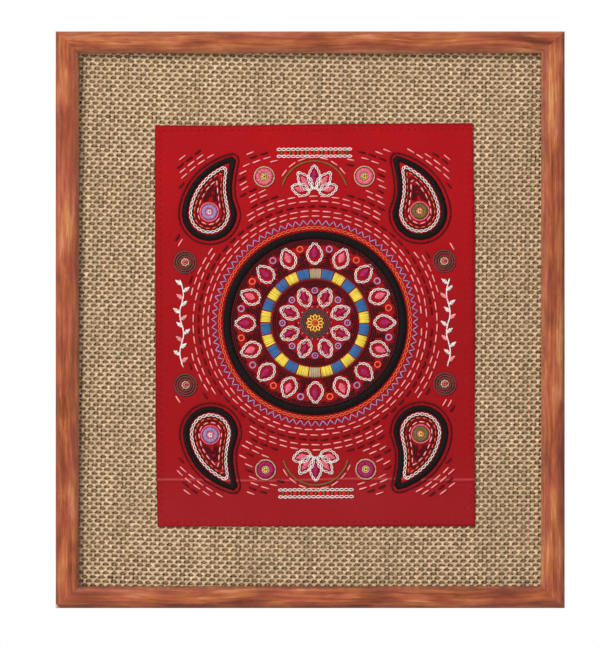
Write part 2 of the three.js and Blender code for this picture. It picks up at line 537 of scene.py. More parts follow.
# How a yarn strays sideways, strays in height and varies in girth: a spacing along it, and an amount
slow_stray = (25 * mm, 0.06 * mm)
quick_stray = (4 * mm, 0.17 * mm)
height_stray = (4 * mm, 0.09 * mm)
slow_girth = (14 * mm, 0.05)
quick_girth = (4 * mm, 0.12)
yarn_girth = 0.03

# How the weave lies: the fall of its rows and the lean of its columns, in degrees, across the opening
row_fall_left = 1.93
row_fall_top_right = 0.95
row_fall_bottom_right = -0.47
column_lean_bottom = 0.7
column_lean_top_left = 2.2
column_lean_top_right = 1.0

# The red cloth's place on the jute, from the frame's middle, and its size before it is turned
cloth_right = 3.9 * mm
cloth_down = 4.6 * mm
cloth_turn = math.radians(0.27)
cloth_width = 255.0 * mm
cloth_length = 321.2 * mm
cloth_centre = complex(frame_middle.x + cloth_right, frame_middle.z - cloth_down)

chance = np.random.RandomState(11)


def wander(places, spacing, amount):
    """A smooth random line through values a given spacing apart."""
    first = places.min() - spacing
    knots = np.arange(first, places.max() + 2 * spacing, spacing)
    return np.interp(places, knots, chance.normal(0, amount, len(knots)))


def weave_place(u, v):
    """Where column u and row v, counted from the middle in metres, cross on the picture."""
    half_u, half_v = opening_half
    to_right = (u / half_u + 1) / 2
    to_top = (v / half_v + 1) / 2
    fall_left = math.radians(row_fall_left)
    fall_right = row_fall_bottom_right + (row_fall_top_right - row_fall_bottom_right) * to_top
    change = fall_left - np.radians(fall_right)
    z = v - (fall_left - change / 2) * u + change * u * u / (4 * half_u)
    lean_foot = math.radians(column_lean_bottom)
    lean_top = column_lean_top_left + (column_lean_top_right - column_lean_top_left) * to_right
    gain = np.radians(lean_top) - lean_foot
    x = u + lean_foot * v + gain * (v * v / (4 * half_v) + v / 2)
    return x, z


def shows(x, z):
    """Where the jute is seen, or lies just under the frame's lip or the red cloth's edge."""
    inside = (abs(x) < opening_half[0] + under_lip) & (abs(z) < opening_half[1] + under_lip)
    on_cloth = (x + 1j * z - complex(cloth_right, -cloth_down)) * np.exp(-1j * cloth_turn)
    covered = abs(on_cloth.real) < cloth_width / 2 - under_cloth
    covered = covered & (abs(on_cloth.imag) < cloth_length / 2 - under_cloth)
    return inside & ~covered


def shown_runs(shown):
    """The first and last index of each unbroken stretch that shows."""
    steps = np.flatnonzero(np.diff(np.concatenate([[0], shown.astype(int), [0]])))
    return [(a, b) for a, b in zip(steps[::2], steps[1::2]) if b - a > 2]


def lengths_along(path):
    """How far each point of a path lies from its start."""
    return np.concatenate([[0], np.cumsum(np.linalg.norm(np.diff(path, axis=0), axis=1))])


def strand_piece(name, strands, section, material):
    """Joins many strands into one piece. A strand is its points (x, z, height), its half width and half
    thickness at each point, and a tone. UV: round the strand, and along it in metres."""
    section = np.array(section)
    ring = len(section)
    spots, quads, caps, tones, maps = [], [], [], [], []
    used = 0
    for points, halves, tone in strands:
        count = len(points)
        along = np.gradient(points, axis=0)
        along /= np.linalg.norm(along, axis=1, keepdims=True)
        side = np.cross((0, 0, 1.0), along)
        side /= np.linalg.norm(side, axis=1, keepdims=True)
        upright_way = np.cross(along, side)
        wide = side[:, None, :] * (section[None, :, 0] * halves[:, :1])[:, :, None]
        thick = upright_way[:, None, :] * (section[None, :, 1] * halves[:, 1:])[:, :, None]
        spots.append((points[:, None, :] + wide + thick).reshape(-1, 3))
        row = used + ring * np.arange(count - 1)[:, None]
        here = np.arange(ring)[None, :]
        ahead = (here + 1) % ring
        next_row = row + ring
        quad = np.stack([row + here, row + ahead, next_row + ahead, next_row + here], -1)
        quads.append(quad.reshape(-1, 4))
        caps.append(used + np.arange(ring)[::-1])
        caps.append(used + ring * (count - 1) + np.arange(ring))
        length = lengths_along(points)
        left = np.broadcast_to(here / ring, (count - 1, ring))
        low = np.broadcast_to(length[:-1, None], (count - 1, ring))
        high = np.broadcast_to(length[1:, None], (count - 1, ring))
        corners = [left, low, left + 1 / ring, low, left + 1 / ring, high, left, high]
        maps.append(np.stack(corners, -1).reshape(-1, 8))
        tones.append(np.full(count * ring, tone))
        used += count * ring
    spots = np.concatenate(spots)
    quads = np.concatenate(quads)
    spots = np.stack([spots[:, 0], -spots[:, 2], spots[:, 1]], -1)
    mesh = bpy.data.meshes.new(name)
    mesh.from_pydata(spots, [], [*quads.tolist(), *[cap.tolist() for cap in caps]])
    wound = mesh.uv_layers.new(name="wound")
    flat_map = np.concatenate([np.concatenate(maps).ravel(), np.zeros(2 * ring * len(caps))])
    wound.data.foreach_set("uv", flat_map.astype(np.float32))
    tone_layer = mesh.attributes.new("tone", "FLOAT", "POINT")
    tone_layer.data.foreach_set("value", np.concatenate(tones).astype(np.float32))
    mesh.polygons.foreach_set("use_smooth", np.ones(len(mesh.polygons), bool))
    return put_in_scene(name, mesh, material)


def weave_yarns(is_warp):
    """The warps or the wefts, each broken where the red cloth hides it."""
    pitch, other_pitch = (warp_pitch, weft_pitch) if is_warp else (weft_pitch, warp_pitch)
    steps = warp_steps if is_warp else weft_steps
    half_wide, half_thick = warp_half if is_warp else weft_half
    crimp = warp_crimp if is_warp else -weft_crimp
    reach = int(weave_reach / pitch)
    crossings = np.arange(-weave_reach, weave_reach, other_pitch / steps)
    crossings = np.round(crossings * steps / other_pitch) * other_pitch / steps
    yarns = []
    for number in range(-reach, reach + 1):
        line = number * pitch + (wander(crossings, *slow_stray) + wander(crossings, *quick_stray))
        x, z = weave_place(line, crossings) if is_warp else weave_place(crossings, line)
        over = np.cos(math.pi * (crossings / other_pitch + number))
        height = jute_middle + crimp * over + wander(crossings, *height_stray)
        between = (1 - over**2) * is_warp
        height += warp_swell * between
        spread = warp_spread * between if is_warp else -weft_spread * over
        girth = 1 + wander(crossings, *slow_girth) + wander(crossings, *quick_girth)
        girth = girth + chance.normal(0, yarn_girth)
        halves = np.stack([half_wide * girth * (1 + spread), half_thick * girth], -1)
        points = np.stack([x + frame_middle.x, z + frame_middle.z, height], -1)
        tone = chance.normal(0, 1)
        for start, end in shown_runs(shows(x, z)):
            yarns.append((points[start:end], halves[start:end], tone))
    return yarns


back_cloth_thickness = 0.6 * mm
back_cloth_round = 0.15 * mm
jute_size = jute_high - jute_low
back_cloth_bm = block(
    (jute_size.x, back_cloth_thickness, jute_size.z),
    (frame_middle.x, -jute_back - back_cloth_thickness / 2, frame_middle.z),
)
soften_edges(back_cloth_bm, back_cloth_round, lambda e: True)

# Yarn fibres: fine lines that wind round the strand, with lighter and darker stretches along it. A strand
# twisted from several plies has a groove between each two, and so many ridges to the metre; the colour is
# painted darker in each groove and lighter on each ridge, as painted shade and painted highlight.
fibre, fibre_in, fibre_out = new_group(
    "wound_fibres",
    [
        ("Color", "Color", (0.5, 0.5, 0.5, 1)),
        ("Dark", "Color", (0.2, 0.2, 0.2, 1)),
        ("Round", "Float", 5.0),
        ("Along", "Float", 300.0),
        ("Twist", "Float", 200.0),
        ("Tone", "Float", 0.1),
        ("Plies", "Float", 0.0),
        ("Ridges", "Float", 0.0),
    ],
    [("Color", "Color"), ("Height", "Float")],
)
strand_shift = 7.3
ply_painted_shade = 0.13
ply_height = 0.8
wound_parts = parts_of(fibre, node(fibre, "ShaderNodeUVMap", uv_map="wound").outputs["UV"])
strand_tone = node(fibre, "ShaderNodeAttribute", attribute_name="tone").outputs["Fac"]
twisted = plus(fibre, wound_parts["X"], times(fibre, wound_parts["Y"], fibre_in["Twist"]))
fibre_place = node(
    fibre,
    "ShaderNodeCombineXYZ",
    {
        "X": times(fibre, twisted, fibre_in["Round"]),
        "Y": times(fibre, wound_parts["Y"], fibre_in["Along"]),
        "Z": times(fibre, strand_tone, strand_shift),
    },
).outputs[0]
hairs = mottle(fibre, fibre_place, 1.0, 4.0, 0.65)
hair_colour = mixed(fibre, ramp(fibre, hairs, (0.3, 0.0), (0.68, 1.0)), fibre_in["Dark"], fibre_in["Color"])
ply_round = times(fibre, wound_parts["X"], fibre_in["Plies"])
ply_along = times(fibre, wound_parts["Y"], fibre_in["Ridges"])
ply_ridge = maths(fibre, "SINE", times(fibre, plus(fibre, ply_round, ply_along), 2 * math.pi))
brighten = plus(fibre, times(fibre, strand_tone, fibre_in["Tone"]), 1.0)
# Painted shade in the grooves between plies and painted highlight on their ridges
brighten = plus(fibre, brighten, times(fibre, ply_ridge, ply_painted_shade))
lit_hair = node(fibre, "ShaderNodeVectorMath", {0: hair_colour, "Scale": brighten}, operation="SCALE")
fibre.links.new(lit_hair.outputs[0], fibre_out["Color"])
fibre.links.new(plus(fibre, hairs, times(fibre, ply_ridge, ply_height)), fibre_out["Height"])


aged_jute = (0.33, 0.225, 0.115, 1)


def jute_material(name, lit, dark, shade, low, high):
    """Jute is pale and dry on its crowns, and darkened with painted shade where it sinks between them,
    between the heights high and low.
    """
    made, tree, shader = new_material(name, 0.9)
    fibre_values = {"Color": lit, "Dark": dark, "Round": 8.0, "Along": 330.0, "Twist": 190.0, "Tone": 0.07}
    wound = node(tree, "ShaderNodeGroup", fibre_values, node_tree=fibre).outputs
    place = object_place(tree)
    # Painted shade: the lower a point of the yarn lies, the more its colour goes to the shade colour
    recess_shade_share = node(
        tree,
        "ShaderNodeMapRange",
        {"Value": parts_of(tree, place)["Y"], "From Min": -high, "From Max": -low},
        interpolation_type="SMOOTHSTEP",
    ).outputs[0]
    aged = ramp(tree, mottle(tree, place, 22.0, 3.0), (0.35, 0.0), (0.75, 0.28))
    flecked = ramp(tree, mottle(tree, place, 520.0, 3.0), (0.36, 0.76), (0.64, 1.2))
    colour = mixed(tree, aged, mixed(tree, recess_shade_share, wound["Color"], shade), aged_jute)
    colour = mixed(tree, 1.0, colour, flecked, way="MULTIPLY")
    finish_surface(tree, shader, colour, wound["Height"], 0.9, 0.25 * mm, specular=0.15)
    return made


warp_jute = jute_material(
    "jute_warp",
    lit=(0.93, 0.68, 0.455, 1),
    dark=(0.37, 0.25, 0.14, 1),
    shade=(0.2, 0.125, 0.055, 1),
    low=12.0 * mm,
    high=13.5 * mm,
)
# The weft is dark partly in its own colour and partly as painted shade, for the shade under the warps
weft_jute = jute_material(
    "jute_weft",
    lit=(0.38, 0.225, 0.094, 1),
    dark=(0.11, 0.06, 0.023, 1),
    shade=(0.085, 0.05, 0.018, 1),
    low=12.2 * mm,
    high=12.9 * mm,
)
hessian, hessian_tree, hessian_shader = new_material("hessian_back", 0.95)
hessian_mottle = mottle(hessian_tree, object_place(hessian_tree), 700.0, 3.0)
hessian_tone = mixed(hessian_tree, hessian_mottle, (0.05, 0.032, 0.012, 1), (0.13, 0.085, 0.036, 1))
hessian_tree.links.new(hessian_tone, hessian_shader.inputs["Base Color"])

# Sections of a yarn, in shares of its half width and half thickness: a warp is pressed flat, a weft is round
warp_section = [(1.0, 0.4), (0.6, 0.95), (-0.6, 0.95), (-1.0, 0.4), (0.0, -1.0)]
weft_section = [(1.0, 0.0), (0.7, 0.7), (0.0, 1.0), (-0.7, 0.7), (-1.0, 0.0), (0.0, -1.0)]

# Loose fibres that stand off the yarns
fuzz_count = 1200
fuzz_half = 0.055 * mm
fuzz_inset = 2 * mm
fuzz_lift = np.array([-0.5, 0.1, 0.35, 0.4, 0.2, -0.1]) * mm
fuzz_points = len(fuzz_lift)
fuzz = []
while len(fuzz) < fuzz_count:
    start = chance.uniform(-1, 1, 2) * opening_half
    if not shows(*start) or max(abs(start) - opening_half) > -fuzz_inset:
        continue
    way = chance.uniform(0, 2 * math.pi)
    turns = way + np.cumsum(chance.normal(0, 0.5, fuzz_points))
    steps = np.stack([np.cos(turns), np.sin(turns)], -1) * chance.uniform(0.5, 1.3) * mm
    places = start + np.cumsum(steps, axis=0)
    heights = jute_front + fuzz_lift * chance.uniform(0.3, 1.5)
    points = np.stack([places[:, 0] + frame_middle.x, places[:, 1] + frame_middle.z, heights], -1)
    if shows(*places.T).all():
        fuzz.append((points, np.full((fuzz_points, 2), fuzz_half), chance.normal(0, 1)))
fuzz_section = [(1.0, 0.0), (-0.5, 0.87), (-0.5, -0.87)]
straw_fibre = jute_material(
    "jute_fibre",
    lit=(0.78, 0.63, 0.43, 1),
    dark=(0.5, 0.38, 0.24, 1),
    shade=(0.3, 0.2, 0.1, 1),
    low=12.6 * mm,
    high=13.4 * mm,
)
jute_fuzz = strand_piece("jute_fuzz", fuzz, fuzz_section, straw_fibre)
jute_back_cloth = put_in_scene("jute_back_cloth", mesh_from(back_cloth_bm, "jute_back_cloth"), hessian)
warps = weave_yarns(True)
left_warps = [yarn for yarn in warps if yarn[0][0, 0] < frame_middle.x]
right_warps = [yarn for yarn in warps if yarn[0][0, 0] >= frame_middle.x]
jute_warps = [
    strand_piece("jute_warps_left", left_warps, warp_section, warp_jute),
    strand_piece("jute_warps_right", right_warps, warp_section, warp_jute),
]
jute_wefts = strand_piece("jute_wefts", weave_yarns(False), weft_section, weft_jute)
for piece in (jute_back_cloth, *jute_warps, jute_wefts, jute_fuzz):
    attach(piece, "root")
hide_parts("jute_ground")


# The red cloth
# One panel of fine red cotton, cut by eye, its narrow hem turned under and caught down by hand. It lies on
# the jute a little askew. It was once folded, and the fold still shows as a pale line across its lower part.
cloth_cells = (158, 200)
cloth_thickness = 0.5 * mm
cloth_face = 14.5 * mm
hem_width = 5.0 * mm
hem_rise = 0.25 * mm
hem_step = 1.2 * mm
edge_drop = 0.4 * mm
edge_round = 1.3 * mm
fold_line = -123 * mm
fold_rise = 0.2 * mm
fold_width = 1.3 * mm
fold_bend = 0.6 * mm
fold_waves = 41.0
short_fold = (-92 * mm, 99 * mm)
short_fold_rise = 0.25 * mm
short_fold_width = 1.8 * mm
short_fold_reach = 26 * mm
short_fold_slope = 0.04
wave_rise = 0.085 * mm
edge_shade_reach = 1.2 * mm

# How far each edge strays outwards, from its start to its end, read clockwise from the top left corner
quarters = (0, 0.25, 0.5, 0.75, 1)
top_strays = (-0.1, -0.6, 0.2, 0.4, 0.4)
right_strays = (-1.0, 0.5, 0.4, -0.4, -0.4)
bottom_strays = (0.3, 0.0, -0.4, -0.4, -0.5)
left_strays = (-0.9, 0.3, 0.1, 0.0, -0.5)


def stray(share, strays):
    return np.interp(share, quarters, strays) * mm


def cloth_place(s, t):
    """A place on the cloth, in metres from its middle, for s and t from -1 to 1 across and up it."""
    x = s * cloth_width / 2
    z = t * cloth_length / 2
    to_right, to_left = np.maximum(s, 0), np.maximum(-s, 0)
    to_top, to_bottom = np.maximum(t, 0), np.maximum(-t, 0)
    x += to_right * stray((1 - t) / 2, right_strays) - to_left * stray((1 + t) / 2, left_strays)
    z += to_top * stray((1 + s) / 2, top_strays) - to_bottom * stray((1 - s) / 2, bottom_strays)
    return x, z


def on_picture(x, z):
    """Turns a place on the cloth into one on the picture."""
    turned = (x + 1j * z) * np.exp(1j * cloth_turn) + cloth_centre
    return turned.real, turned.imag


def hump(distance, width):
    return np.exp(-((distance / width) ** 2))


def inside_edge(x, z):
    return np.minimum(cloth_width / 2 - abs(x), cloth_length / 2 - abs(z))


def cloth_front(x, z):
    """The height of the cloth's face at a place on it, before any stitch pulls at it."""
    to_edge = inside_edge(x, z)
    height = cloth_face + hem_rise * np.clip((hem_width - to_edge) / hem_step + 0.5, 0, 1)
    height = height - edge_drop * np.clip(1 - to_edge / edge_round, 0, 1) ** 2
    height = height + fold_rise * hump(z - fold_line - fold_bend * np.sin(x * fold_waves), fold_width)
    off_short_fold = z - short_fold[1] - short_fold_slope * x
    beside = hump(x - short_fold[0], short_fold_reach)
    height = height + short_fold_rise * hump(off_short_fold, short_fold_width) * beside

    # Shallow waves of unlike lengths and ways, so that none is seen to repeat
    waves = np.sin(x * 171 + 1.3 * np.sin(z * 23)) + 0.8 * np.sin(x * 97 - z * 19 + 2)
    waves = waves + 0.7 * np.sin(z * 83 + 1.1 * np.sin(x * 31)) + 0.5 * np.sin(x * 263 + z * 140)
    return height + wave_rise * waves


cloth_bm = bmesh.new()
bmesh.ops.create_grid(cloth_bm, x_segments=cloth_cells[0], y_segments=cloth_cells[1], size=1)
hem_edge_shade = cloth_bm.verts.layers.float.new("hem_edge_shade")
cloth_verts = list(cloth_bm.verts)
cloth_x, cloth_z = cloth_place(*np.array([vert.co.xy for vert in cloth_verts]).T)
cloth_heights = cloth_front(cloth_x, cloth_z)
# Painted shade along the cloth's edges, for the shade at its turned hem
edge_shade_share = hump(inside_edge(cloth_x, cloth_z), edge_shade_reach)
for vert, x, z, height, share in zip(cloth_verts, *on_picture(cloth_x, cloth_z), cloth_heights, edge_shade_share):
    vert.co = (x, -height, z)
    vert[hem_edge_shade] = share
cloth_bm.normal_update()
bmesh.ops.solidify(cloth_bm, geom=cloth_bm.faces[:], thickness=cloth_thickness)
bmesh.ops.recalc_face_normals(cloth_bm, faces=cloth_bm.faces)

# A fine plain weave: two sets of threads that take turns to stand up.
fine_weave, weave_in, weave_out = new_group(
    "fine_weave",
    [("Vector", "Vector", None), ("Threads", "Float", 2200.0)],
    [("Height", "Float")],
)
weave_parts = parts_of(fine_weave, weave_in["Vector"])
weave_turn = times(fine_weave, weave_in["Threads"], math.pi)
warp_crest = maths(fine_weave, "SINE", times(fine_weave, weave_parts["X"], weave_turn))
weft_crest = maths(fine_weave, "SINE", times(fine_weave, weave_parts["Z"], weave_turn))
slub = mottle(fine_weave, weave_in["Vector"], 600.0, 3.0)
fine_weave.links.new(plus(fine_weave, times(fine_weave, warp_crest, weft_crest), slub), weave_out["Height"])

# The red is brightest at the top and dullest at the foot. Each change lies between two heights.
bright_heights = (-0.24, -0.07)
dull_heights = (-0.33, -0.37)
middle_red = (0.345, 0.0075, 0.0100, 1)
bright_red = (0.475, 0.0065, 0.0100, 1)
dull_red = (0.335, 0.0180, 0.0235, 1)
edge_shade_red = (0.17, 0.004, 0.008, 1)

# Each mottling of the cloth: its scale and detail, the two stops of its share, and its tone
red_mottling = [
    (13.0, 4.0, (0.35, 0.35), (0.65, 0.0), (0.30, 0.006, 0.009, 1)),
    (75.0, 3.0, (0.38, 0.16), (0.66, 0.0), (0.28, 0.018, 0.018, 1)),
    (420.0, 3.0, (0.35, 0.0), (0.7, 0.3), (0.3, 0.006, 0.01, 1)),
]
red_cotton, red_tree, red_shader = new_material("red_cotton", 0.85)
red_place = object_place(red_tree)
red_parts = parts_of(red_tree, red_place)


def share_between(low, high):
    values = {"Value": red_parts["Z"], "From Min": low, "From Max": high}
    return node(red_tree, "ShaderNodeMapRange", values).outputs[0]


red = mixed(red_tree, share_between(*bright_heights), middle_red, bright_red)
red = mixed(red_tree, times(red_tree, share_between(*dull_heights), 0.8), red, dull_red)
for scale, detail, first_stop, last_stop, tone in red_mottling:
    share = ramp(red_tree, mottle(red_tree, red_place, scale, detail), first_stop, last_stop)
    red = mixed(red_tree, share, red, tone)
# The edges are darkened with painted shade
red_edge_shade = node(red_tree, "ShaderNodeAttribute", attribute_name="hem_edge_shade").outputs["Fac"]
red = mixed(red_tree, times(red_tree, red_edge_shade, 0.8, clamp=True), red, edge_shade_red)

# The crease along the fold is a thin pale line, with a darker one under it that is painted shadow of the
# crease. Each line has its rise over the fold, its strength and its tone.
crease_lines = [(0.0, 0.42, (0.66, 0.12, 0.12, 1)), (-1.7 * mm, 0.3, (0.2, 0.004, 0.008, 1))]
crease_slope = math.tan(cloth_turn)
crease_height = cloth_centre.imag + fold_line - cloth_centre.real * crease_slope
crease_bend = times(red_tree, maths(red_tree, "SINE", times(red_tree, red_parts["X"], fold_waves)), fold_bend)
above_crease = maths(red_tree, "SUBTRACT", red_parts["Z"], plus(red_tree, crease_bend, crease_height))
above_crease = maths(red_tree, "SUBTRACT", above_crease, times(red_tree, red_parts["X"], crease_slope))
for rise, strength, tone in crease_lines:
    off_line = maths(red_tree, "ABSOLUTE", maths(red_tree, "SUBTRACT", above_crease, rise))
    line_share = maths(red_tree, "SUBTRACT", 1.0, maths(red_tree, "DIVIDE", off_line, fold_width), clamp=True)
    red = mixed(red_tree, times(red_tree, line_share, strength), red, tone)
red_weave = node(red_tree, "ShaderNodeGroup", {"Vector": red_place}, node_tree=fine_weave).outputs
finish_surface(red_tree, red_shader, red, red_weave["Height"], 0.35, 0.1 * mm, specular=0.06)
cloth_mesh = mesh_from(cloth_bm, "red_cloth")
shade_smooth(cloth_mesh, 50)
red_cloth = put_in_scene("red_cloth", cloth_mesh, red_cotton)


# The embroidery
# Stranded cotton, sewn by hand through the red cloth: running stitch in echoing rows, stem stitch, satin
# stitch, chain stitch, knots and rings. Each stitch dips into the cloth at both ends and pulls it in there.
# Places here are in millimetres from the cloth's middle. The threads lie on the cloth, a mesh to a colour.
needle = np.random.RandomState(23)

# Each thread's colour, and its half width in millimetres
thread_colours = {
    "pale_pink": ((1.0, 0.355, 0.35), 0.5),
    "black": ((0.010, 0.006, 0.0065), 0.45),
    "maroon": ((0.105, 0.007, 0.011), 0.5),
    "white": ((1.0, 0.93, 0.88), 0.42),
    "orange": ((0.95, 0.13, 0.05), 0.45),
    "yellow": ((1.0, 0.76, 0.09), 0.45),
    "blue": ((0.055, 0.19, 0.46), 0.45),
    "lavender": ((0.46, 0.30, 0.58), 0.45),
    "magenta": ((0.50, 0.020, 0.13), 0.45),
    "scarlet": ((0.84, 0.022, 0.020), 0.45),
    "pink": ((0.90, 0.17, 0.25), 0.45),
    "olive": ((0.22, 0.19, 0.05), 0.45),
    "beige": ((0.62, 0.46, 0.28), 0.45),
    "umber": ((0.13, 0.085, 0.075), 0.45),
}
sewn = {thread: [] for thread in thread_colours}
needle_holes = []
arch_shares = np.array([0, 0.12, 0.5, 0.88, 1])
arch_heights = np.array([-0.35, 0.28, 0.5, 0.28, -0.35])
arch_widths = np.array([0.55, 0.9, 1, 0.9, 0.55])
plumpness = 0.8
middle = np.array([0.0, 2.0])


def on_cloth_face(places, heights):
    """Points for a strand from places in millimetres and heights over the cloth, also in millimetres."""
    x, z = places[:, 0] * mm, places[:, 1] * mm
    return np.stack([*on_picture(x, z), cloth_front(x, z) + heights * mm], -1)


def lay(thread, places, heights, widths):
    """Lays a strand through places in millimetres, with its heights and its shares of full width there."""
    half = thread_colours[thread][1] * widths * mm
    halves = np.stack([half, half * plumpness], -1)
    sewn[thread].append((on_cloth_face(places, heights), halves, needle.normal(0, 1)))


def sew(thread, start, end, wide=1.0, slip=0.14):
    """One straight stitch."""
    start = start + needle.normal(0, slip, 2)
    end = end + needle.normal(0, slip, 2)
    places = start + (end - start) * arch_shares[:, None]
    lay(thread, places, arch_heights * wide, arch_widths * wide * (1 + needle.normal(0, 0.06)))
    needle_holes.extend([start, end])


def at(path, shares):
    """Places at shares of the way along a path."""
    along = lengths_along(path)
    marks = np.asarray(shares) * along[-1]
    return np.stack([np.interp(marks, along, path[:, 0]), np.interp(marks, along, path[:, 1])], -1)


def path_length(path):
    return np.linalg.norm(np.diff(path, axis=0), axis=1).sum()


def across(path, shares):
    """The unit vector that points to the left of a path."""
    step = at(path, np.clip(shares + 0.004, 0, 1)) - at(path, np.clip(shares - 0.004, 0, 1))
    step /= np.linalg.norm(step, axis=1, keepdims=True)
    return np.stack([-step[:, 1], step[:, 0]], -1)


def anywhere(place):
    return True


def run(thread, path, allowed=anywhere, long=6.6, gap=2.2, wide=1.12):
    """Running stitch."""
    length = path_length(path)
    count = max(1, round(length / (long + gap)))
    first = needle.uniform(0, 1)
    for start in (np.arange(count) + first) / count:
        ends = at(path, np.clip([start, start + long / (long + gap) / count], 0, 1))
        if path_length(ends) > long / 2 and allowed(ends[0]) and allowed(ends[1]):
            sew(thread, ends[0], ends[1], wide)


def stem(thread, path, allowed=anywhere, long=4.4, step=2.8, slant=0.26, wide=1.0):
    """Stem stitch: a rope of slanting stitches, each lying beside the last."""
    count = max(1, round(path_length(path) / step))
    starts = np.arange(count) / count
    ends = np.clip(starts + long / step / count, 0, 1)
    slants = across(path, starts) * slant
    for start, end, aside in zip(at(path, starts) - slants, at(path, ends) + slants, slants):
        if allowed(start) and allowed(end):
            sew(thread, start, end, wide, 0.08)


def satin(thread, one_side, other_side, spacing, wide=1.0):
    """Satin stitch, side by side from one line over to another."""
    count = max(2, round(max(path_length(one_side), path_length(other_side)) / spacing))
    shares = (np.arange(count) + 0.5) / count
    for start, end in zip(at(one_side, shares), at(other_side, shares)):
        sew(thread, start, end, wide, 0.1)


loop_along = np.array([0, 0.22, 0.55, 0.88, 1.06, 0.88, 0.55, 0.22, 0])
loop_aside = np.array([0.12, 0.7, 1, 0.62, 0, -0.62, -1, -0.7, -0.12])
loop_heights = np.array([-0.3, 0.2, 0.42, 0.34, 0.12, 0.34, 0.42, 0.2, -0.3])


def loop(thread, start, end, half_wide, wide=0.8):
    """One link of chain stitch, or a petal of the same kind."""
    start = start + needle.normal(0, 0.08, 2)
    step = end - start
    aside = np.array([-step[1], step[0]]) / np.linalg.norm(step) * half_wide
    places = start + step * loop_along[:, None] + aside * loop_aside[:, None]
    lay(thread, places, loop_heights, np.full(len(loop_along), wide))
    needle_holes.append(end)


def chain(thread, path, link=4.0, half_wide=0.95, wide=0.8):
    count = max(1, round(path_length(path) / link))
    places = at(path, np.arange(count + 1) / count)
    for start, end in zip(places, places[1:]):
        loop(thread, start, end, half_wide, wide)


def circle(centre, radius, start=0.0, sweep=360.0):
    turn = np.radians(np.linspace(start, start + sweep, max(9, int(abs(sweep) / 4) + 1)))
    return np.asarray(centre) + radius * np.stack([np.cos(turn), np.sin(turn)], -1)


def spoke(centre, radius, way):
    """The place at a radius from a centre, a given way in degrees."""
    return circle(centre, radius, way, 1)[0]


def ring(thread, centre, radius, wide=1.0):
    """A ring: one thread laid round on the cloth."""
    places = circle(centre, radius, needle.uniform(0, 360))[:: max(1, int(18 / radius))]
    places = np.concatenate([places, places[:1] + 0.02]) if len(places) % 2 else places
    lay(thread, places, np.full(len(places), 0.3), np.full(len(places), wide))


knot_points = 9


def knot(thread, place, wide=1.0):
    """A knot: two turns of thread in a small mound."""
    turn = np.linspace(0, 4 * np.pi, knot_points)
    radius = np.linspace(0.62, 0.2, knot_points)
    places = place + radius[:, None] * np.stack([np.cos(turn), np.sin(turn)], -1)
    lay(thread, places, np.linspace(0.2, 0.75, knot_points), np.full(knot_points, 0.8 * wide))


def zigzag(thread, path, reach, step):
    """Straight stitches that lean by turns to either side of a path."""
    count = 2 * round(path_length(path) / step / 2)
    marks = np.arange(count + 1)
    side = 1 - 2 * (marks % 2)
    places = at(path, marks / count) + across(path, marks / count) * reach * side[:, None]
    for start, end in zip(places, places[1:]):
        sew(thread, start, end, 0.95)


def petal(base, way, long, half_wide, fullness=0.8):
    """A petal's two sides, each from its base to its tip, pointing a given way in degrees."""
    share = np.linspace(0, 1, 15)
    half = half_wide * np.sin(np.pi * share**fullness)
    along = np.array([math.cos(math.radians(way)), math.sin(math.radians(way))])
    aside = np.array([-along[1], along[0]])
    left = base + share[:, None] * long * along + half[:, None] * aside
    right = base + share[:, None] * long * along - half[:, None] * aside
    return left, right


def resized(outline, share):
    """The same outline, smaller or larger about its own centre."""
    centre = outline.mean(axis=0)
    return centre + (outline - centre) * share


def filled_petal(threads, base, way, long, half_wide, echo=True):
    """A petal in chain stitch round a satin heart, with or without running stitch between them."""
    left, right = petal(base, way, long, half_wide)
    outline = np.concatenate([left, right[-2::-1]])
    chain(threads[0], outline, link=3.6, half_wide=0.75, wide=0.75)
    if echo:
        run(threads[1], resized(outline, 0.7), long=3.0, gap=1.5, wide=0.85)
    heart_base = base + (left[4] + right[4] - 2 * base) / 2
    heart = petal(heart_base, way, long * 0.5, half_wide * (0.32 if echo else 0.46))
    satin(threads[2], heart[0], heart[1], spacing=0.85)
    return outline


taken = []
round_margin = 2.2


def wheel_flower(place, radius, rim, spokes, heart):
    """A round flower: satin spokes between two stem rings, and knots in the middle."""
    stem(rim, circle(place, radius), step=2.2, long=3.4)
    satin(spokes, circle(place, radius * 0.42), circle(place, radius * 0.86), spacing=1.1)
    stem(rim, circle(place, radius * 0.36), step=1.8, long=2.6)
    for knot_place in circle(place, radius * 0.17)[::15]:
        knot(heart, knot_place)
    taken.append(circle(place, radius + round_margin))


def medallion(place, radius):
    """Close rings of stem stitch round pink knots."""
    for ring_radius in np.arange(radius, 2.5, -1.9):
        stem("umber" if ring_radius > 4 else "beige", circle(place, ring_radius), step=2.4, long=3.8)
    for knot_place in circle(place, 1.2)[::18]:
        knot("pink", knot_place)
    taken.append(circle(place, radius + round_margin))


def leaf(thread, base, way, long, half_wide):
    satin(thread, *petal(base, way, long, half_wide), spacing=0.95)


def mirrored(places, across_x, across_z):
    """The same places in another quarter of the cloth, about the middle of the work."""
    return middle + (np.asarray(places) - middle) * (1 - 2 * across_x, 1 - 2 * across_z)


def is_inside(place, outline):
    x, z = outline[:, 0], outline[:, 1]
    next_x, next_z = np.roll(x, -1), np.roll(z, -1)
    level = (z > place[1]) != (next_z > place[1])
    meets = (next_x - x)[level] * (place[1] - z[level]) / (next_z - z)[level] + x[level]
    return np.count_nonzero(meets > place[0]) % 2 == 1


def clear_of(outlines):
    """A test for places that lie outside all of some outlines."""
    return lambda place: not any(is_inside(place, outline) for outline in outlines)


